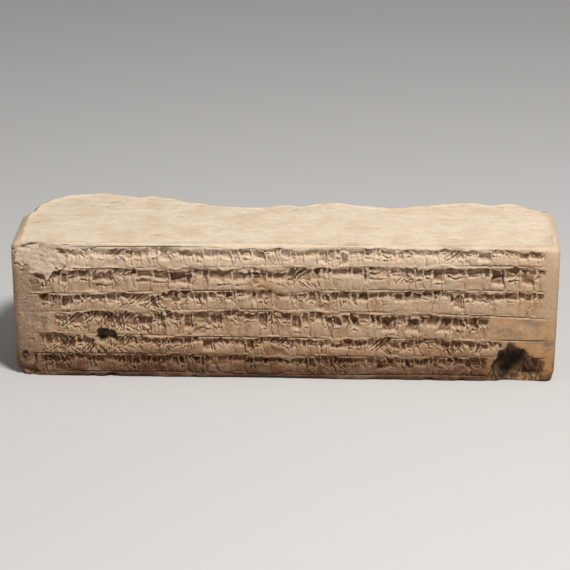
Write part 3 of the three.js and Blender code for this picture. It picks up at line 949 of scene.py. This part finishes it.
def brick_mesh():
    """Vertices, quads, triangles and masks of the whole brick."""
    face, outline = inscribed_face(), Outline()
    points, masks = skin(face, outline)
    levels, count = points.shape[:2]
    ring = np.arange(count)
    after = (ring + 1) % count
    quads = []
    for level in range(levels - 1):
        a, b = level * count + ring, level * count + after
        quads.append(np.stack([a, b, b + count, a + count], 1))
    vertices = points.reshape(-1, 3)
    values = {name: field.reshape(-1) for name, field in masks.items()}

    triangles = []
    for upper in (False, True):
        first = (levels - 1) * count if upper else 0
        grid, faces = bed(points[-1 if upper else 0], upper)
        lookup = np.concatenate([first + ring, len(vertices) + np.arange(len(grid))])
        triangles.append(lookup[faces])
        vertices = np.concatenate([vertices, np.column_stack([grid, np.full(len(grid), THICKNESS * upper)])])
    for name in values:
        values[name] = np.concatenate([values[name], np.zeros(len(vertices) - len(values[name]))])

    # the beds' relief: the whole upper bed, and the underside within its ring
    x, y, z = vertices.T
    top = z > THICKNESS - 1e-6
    within = (z < 1e-6) & (np.arange(len(vertices)) >= levels * count)
    values["bed"] = np.where(top, 1.0, 0.0)
    values["pitted"] = np.where(top, bed_pits(x, y), 0)
    vertices[top, 2] -= bed_relief(x[top], y[top], True)
    vertices[within, 2] += bed_relief(x[within], y[within], False)
    return vertices, np.concatenate(quads), np.concatenate(triangles), values


def make_piece(name, vertices, quads, triangles, values):
    """An object from arrays, with each value as a float attribute of its points."""
    mesh = bpy.data.meshes.new(name)
    corners = np.concatenate([quads.reshape(-1), triangles.reshape(-1)]).astype(np.int32)
    sizes = np.concatenate([np.full(len(quads), 4), np.full(len(triangles), 3)])
    starts = np.concatenate([[0], np.cumsum(sizes)[:-1]]).astype(np.int32)
    mesh.vertices.add(len(vertices))
    mesh.vertices.foreach_set("co", vertices.astype(np.float32).reshape(-1))
    mesh.loops.add(len(corners))
    mesh.loops.foreach_set("vertex_index", corners)
    mesh.polygons.add(len(sizes))
    mesh.polygons.foreach_set("loop_start", starts)
    for key, value in values.items():
        attribute = mesh.attributes.new(key, "FLOAT", "POINT")
        attribute.data.foreach_set("value", value.astype(np.float32))
    mesh.update(calc_edges=True)
    mesh.validate()
    piece = bpy.data.objects.new(name, mesh)
    bpy.context.scene.collection.objects.link(piece)
    return piece


def thinned(piece, most):
    """Fewer triangles, kept where the surface turns most."""
    mesh = piece.data
    mesh.calc_loop_triangles()
    decimate = piece.modifiers.new("thin", "DECIMATE")
    decimate.ratio = min(1, most / len(mesh.loop_triangles))
    decimate.use_collapse_triangulate = True
    graph = bpy.context.evaluated_depsgraph_get()
    thin = bpy.data.meshes.new_from_object(piece.evaluated_get(graph))
    piece.modifiers.clear()
    piece.data = thin
    bpy.data.meshes.remove(mesh)
    thin.name = piece.name
    thin.shade_smooth()


class Shades:
    """Short names for the nodes of one material."""

    def __init__(self, material):
        material.use_nodes = True
        self.nodes, self.links = material.node_tree.nodes, material.node_tree.links
        self.shader = self.nodes["Principled BSDF"]
        self.place = self.nodes.new("ShaderNodeTexCoord").outputs["Object"]

    def put(self, socket, value):
        """Links a socket to another one, or sets its number or colour."""
        if isinstance(value, bpy.types.NodeSocket):
            self.links.new(value, socket)
        else:
            socket.default_value = (*value, 1) if isinstance(value, tuple) else value

    def mix(self, factor, a, b):
        """Colour a, with b laid over it by the factor."""
        node = self.nodes.new("ShaderNodeMix")
        node.data_type = "RGBA"
        for index, value in ((0, factor), (6, a), (7, b)):
            self.put(node.inputs[index], value)
        return node.outputs[2]

    def math(self, operation, a, b):
        node = self.nodes.new("ShaderNodeMath")
        node.operation = operation
        self.put(node.inputs[0], a)
        self.put(node.inputs[1], b)
        return node.outputs[0]

    def times(self, a, b):
        return self.math("MULTIPLY", a, b)

    def plus(self, a, b):
        return self.math("ADD", a, b)

    def spread(self, value, low, high, to_low=0.0, to_high=1.0):
        """The value carried smoothly from the range low to high to another range."""
        node = self.nodes.new("ShaderNodeMapRange")
        node.interpolation_type = "SMOOTHSTEP"
        for index, number in enumerate((value, low, high, to_low, to_high)):
            self.put(node.inputs[index], number)
        return node.outputs[0]

    def mask(self, name, share=1):
        """One of the mesh's masks, times a share."""
        node = self.nodes.new("ShaderNodeAttribute")
        node.attribute_name = name
        return node.outputs["Fac"] if share == 1 else self.times(node.outputs["Fac"], share)

    def axes(self, vector):
        """The three numbers of a vector."""
        node = self.nodes.new("ShaderNodeSeparateXYZ")
        self.links.new(vector, node.inputs[0])
        return node.outputs

    def cloud(self, size, detail=3.0, stretch=(1, 1, 1), roughness=0.55):
        """Chance pattern with lumps of the given size in millimetres."""
        mapping = self.nodes.new("ShaderNodeMapping")
        mapping.inputs["Scale"].default_value = stretch
        self.links.new(self.place, mapping.inputs["Vector"])
        node = self.nodes.new("ShaderNodeTexNoise")
        self.links.new(mapping.outputs[0], node.inputs["Vector"])
        node.inputs["Scale"].default_value = 1 / (size * MM)
        node.inputs["Detail"].default_value = detail
        node.inputs["Roughness"].default_value = roughness
        return node.outputs["Fac"]

    def patches(self, low, high, share, *cloud):
        """Patches where a chance pattern rises from low to high, times a share."""
        return self.times(self.spread(self.cloud(*cloud), low, high), share)


def height_tones(s, up):
    """The inscribed face's tone by height, a little unevenly."""
    ramp = s.nodes.new("ShaderNodeValToRGB")
    uneven = s.times(s.math("SUBTRACT", s.cloud(30), 0.5), 0.02)
    s.put(ramp.inputs[0], s.times(s.plus(up, uneven), 1 / (THICKNESS * MM)))
    stops = ramp.color_ramp.elements
    while len(stops) < len(FACE_TONES):
        stops.new(0.5)
    for stop, (height, tone) in zip(stops, FACE_TONES):
        stop.position = height / THICKNESS
        stop.color = (*tone, 1)
    return ramp.outputs[0]


def face_colour(s, facing):
    """Every side's colour but the upper bed's: toned by height and darker at the foot, partly as painted shade; dust
    above, with painted light on what faces up; painted shade in the deep places.
    """
    along, up = s.axes(s.place)["X"], s.axes(s.place)["Z"]
    clean = s.spread(up, 0.004, 0.04, 0.15, 1)
    colour = height_tones(s, up)
    colour = s.mix(s.patches(0.5, 0.72, 0.35, 12, 4), colour, RUST)
    colour = s.mix(s.patches(0.48, 0.75, 0.4, 9, 4, (0.6, 1, 1)), colour, DRAB)
    toward_right = s.times(s.spread(along, 0.125, 0.165), 0.5)
    colour = s.mix(s.times(toward_right, clean), colour, ORANGE)
    smudged = s.mix(s.spread(s.cloud(8, 5, (0.6, 1, 1)), 0.46, 0.6), SMUDGE_PALE, SMUDGE_DARK)
    colour = s.mix(s.mask("bare", 0.88), colour, smudged)
    margin = s.times(s.spread(along, -0.174, -0.152, 0.85, 0), s.spread(along, -0.1825, -0.1785, 0.35, 1))
    colour = s.mix(margin, colour, MARGIN)
    # dust in patches, and paler where the surface faces up: partly dust, partly painted light from above
    for dusty_and_lit in (s.patches(0.5, 0.75, 0.3, 4, 4), s.times(s.spread(facing, 0.05, 0.8), 0.5)):
        colour = s.mix(s.times(dusty_and_lit, clean), colour, DUST_AND_LIGHT)

    # broken and flaked clay, then what lies raised or deep
    broken = s.mix(s.spread(s.cloud(14, 7, roughness=0.72), 0.38, 0.64), BREAK_DARK, BREAK_PALE)
    colour = s.mix(s.mask("break"), colour, broken)
    flaked = s.mix(s.spread(s.cloud(3, 4), 0.4, 0.7), FLAKE_PALE, FLAKE_DARK)
    colour = s.mix(s.mask("flake"), colour, flaked)
    colour = s.mix(s.times(s.mask("raised", 0.3), clean), colour, DUST_AND_LIGHT)
    # painted shade in the deep places and along the ruled lines, weaker in the top row
    colour = s.mix(s.times(s.mask("painted_shade"), s.spread(up, 0.074, 0.086, 0.68, 0.3)), colour, SOIL_AND_SHADE)
    crumbled_and_shaded = s.mix(s.spread(s.cloud(3, 5, (1.3, 1, 0.8)), 0.42, 0.6), CRUMB_DARK, CRUMB_PALE)
    # painted shade deeper in the chip, near black at its heart and in the hole, and dark in the small chips of the
    # lower arris
    for name, share, tone in (
        ("clump", 0.6, CLUMP_TONE), ("stain", 0.6, STAIN_TONE), ("pebble", 0.8, PEBBLE_TONE),
        ("fracture_and_shade", 0.92, crumbled_and_shaded), ("hollow_shade", 0.95, HOLLOW_SHADE), ("chips", 0.3, CHIP_SHADE),
    ):
        colour = s.mix(s.mask(name, share), colour, tone)
    return colour


def bed_colour(s):
    """The upper bed's colour: cream, with faint streaks and browner patches."""
    colour = s.mix(s.spread(s.cloud(7, 4, (0.14, 1, 1)), 0.3, 0.75), BED_WORN, CREAM)
    colour = s.mix(s.patches(0.42, 0.66, 0.55, 22, 5), colour, BED_BROWN)
    colour = s.mix(s.patches(0.48, 0.66, 0.4, 5, 5, (0.6, 1, 1)), colour, BED_PATCH)
    return s.mix(s.mask("pitted", 0.9), colour, SOIL_AND_SHADE)


def clay():
    """Fired clay: pale and dusted on the upper bed, browner down the inscribed face, with painted shade at its foot
    and in the deep places.
    """
    material = bpy.data.materials.new("fired_clay")
    s = Shades(material)
    facing = s.axes(s.nodes.new("ShaderNodeNewGeometry").outputs["Normal"])["Z"]
    is_bed = s.times(s.mask("bed"), s.spread(facing, 0.3, 0.8))
    colour = s.mix(is_bed, face_colour(s, facing), bed_colour(s))

    # rare dark specks, sand on the left margin and fine unevenness all over
    grit = s.nodes.new("ShaderNodeTexVoronoi")
    s.links.new(s.place, grit.inputs["Vector"])
    grit.inputs["Scale"].default_value = 1 / (1.6 * MM)
    grit.inputs["Randomness"].default_value = 1
    speck = s.spread(grit.outputs["Distance"], 0.12, 0.3, 1, 0)
    rare = s.spread(s.cloud(2.2, 2), 0.6, 0.66)
    colour = s.mix(s.times(s.times(speck, rare), 0.45), colour, SOIL_AND_SHADE)
    colour = s.mix(s.times(s.spread(s.cloud(1.1, 4), 0.46, 0.62), s.mask("sandy", 0.5)), colour, SAND)
    tint = s.nodes.new("ShaderNodeVectorMath")
    tint.operation = "SCALE"
    s.links.new(colour, tint.inputs[0])
    s.links.new(s.spread(s.cloud(0.9, 3), 0.3, 0.7, 0.86, 1.12), tint.inputs["Scale"])
    s.links.new(tint.outputs[0], s.shader.inputs["Base Color"])
    s.links.new(s.spread(s.cloud(3, 3), 0.3, 0.7, 0.86, 0.97), s.shader.inputs["Roughness"])
    s.shader.inputs["Specular IOR Level"].default_value = 0.25

    # grain, coarser on the sandy margin and craggy on the break
    grain = s.plus(s.times(s.cloud(0.55, 4), 0.6), s.times(s.cloud(1.8, 3), 0.5))
    grain = s.math("SUBTRACT", grain, s.times(speck, 0.25))
    grain = s.plus(grain, s.times(s.cloud(1.4, 4), s.mask("sandy", 2.5)))
    grain = s.plus(grain, s.times(s.cloud(6, 6, roughness=0.65), s.mask("break", 9)))
    relief = s.nodes.new("ShaderNodeBump")
    relief.inputs["Strength"].default_value = 0.55
    relief.inputs["Distance"].default_value = 0.35 * MM
    s.links.new(grain, relief.inputs["Height"])
    s.links.new(relief.outputs[0], s.shader.inputs["Normal"])
    return material


def brick():
    """The whole brick, set on the CAD box."""
    piece = make_piece("inscribed_brick", *brick_mesh())
    thinned(piece, MOST_TRIANGLES)
    # millimetres in the block's frame to metres on the CAD box
    low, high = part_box("brick")
    mesh = piece.data
    co = np.zeros(len(mesh.vertices) * 3, np.float32)
    mesh.vertices.foreach_get("co", co)
    co = co.reshape(-1, 3).astype(float) * MM
    middle = (co[:, 0].min() + co[:, 0].max()) / 2
    co += ((low.x + high.x) / 2 - middle, low.y, low.z)
    co = np.clip(co, low, high)
    mesh.vertices.foreach_set("co", co.astype(np.float32).reshape(-1))
    mesh.update()
    mesh.materials.append(clay())
    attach(piece, "root")
    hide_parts("brick")


def floor():
    """A plain pale floor, eight metres across."""
    half = 4.0
    mesh = bpy.data.meshes.new("floor")
    mesh.from_pydata([(-half, -half, 0), (half, -half, 0), (half, half, 0), (-half, half, 0)], [], [(0, 1, 2, 3)])
    obj = bpy.data.objects.new("floor", mesh)
    bpy.context.scene.collection.objects.link(obj)
    material = bpy.data.materials.new("floor")
    material.use_nodes = True
    shader = material.node_tree.nodes["Principled BSDF"]
    shader.inputs["Base Color"].default_value = (0.6, 0.6, 0.6, 1)
    shader.inputs["Roughness"].default_value = 0.9
    mesh.materials.append(material)


def aim(obj, target):
    """Turns a light or the camera towards the target."""
    obj.rotation_euler = (Vector(target) - obj.location).to_track_quat("-Z", "Y").to_euler()


def light(name, place, size, power, colour):
    """A soft rectangular light that shines on the brick."""
    data = bpy.data.lights.new(name, "AREA")
    data.shape = "RECTANGLE"
    data.size, data.size_y = size
    data.energy = power
    data.color = colour
    obj = bpy.data.objects.new(name, data)
    obj.location = place
    bpy.context.scene.collection.objects.link(obj)
    aim(obj, (0, 0, 0.05))


def lights():
    """A high soft key light from the front, a weak warm fill from the left, and a dim studio all round."""
    light("key", (0.45, -0.72, 1.52), (0.32, 0.28), 30, (1, 0.97, 0.93))
    light("fill", (-1.2, -1.2, 0.8), (1.0, 1.0), 1.5, (1, 0.93, 0.85))
    world = bpy.data.worlds.new("studio")
    bpy.context.scene.world = world
    world.use_nodes = True
    background = world.node_tree.nodes["Background"]
    background.inputs["Color"].default_value = (1, 0.98, 0.96, 1)
    background.inputs["Strength"].default_value = 0.2


def camera():
    """The camera at the photograph's place."""
    low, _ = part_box("brick")
    target = Vector((TARGET_X * MM, low.y + TARGET_Y * MM, low.z + TARGET_Z * MM))
    data = bpy.data.cameras.new("camera")
    data.sensor_width = SENSOR_WIDTH
    data.lens = SENSOR_WIDTH * FOCAL_PIXELS / IMAGE
    obj = bpy.data.objects.new("camera", data)
    across = math.cos(ELEVATION)
    away = Vector((math.sin(AZIMUTH) * across, -math.cos(AZIMUTH) * across, math.sin(ELEVATION)))
    obj.location = target + DISTANCE * away
    bpy.context.scene.collection.objects.link(obj)
    aim(obj, target)
    bpy.context.scene.camera = obj


bpy.context.scene.view_settings.view_transform = "Standard"
brick()
floor()
lights()
camera()
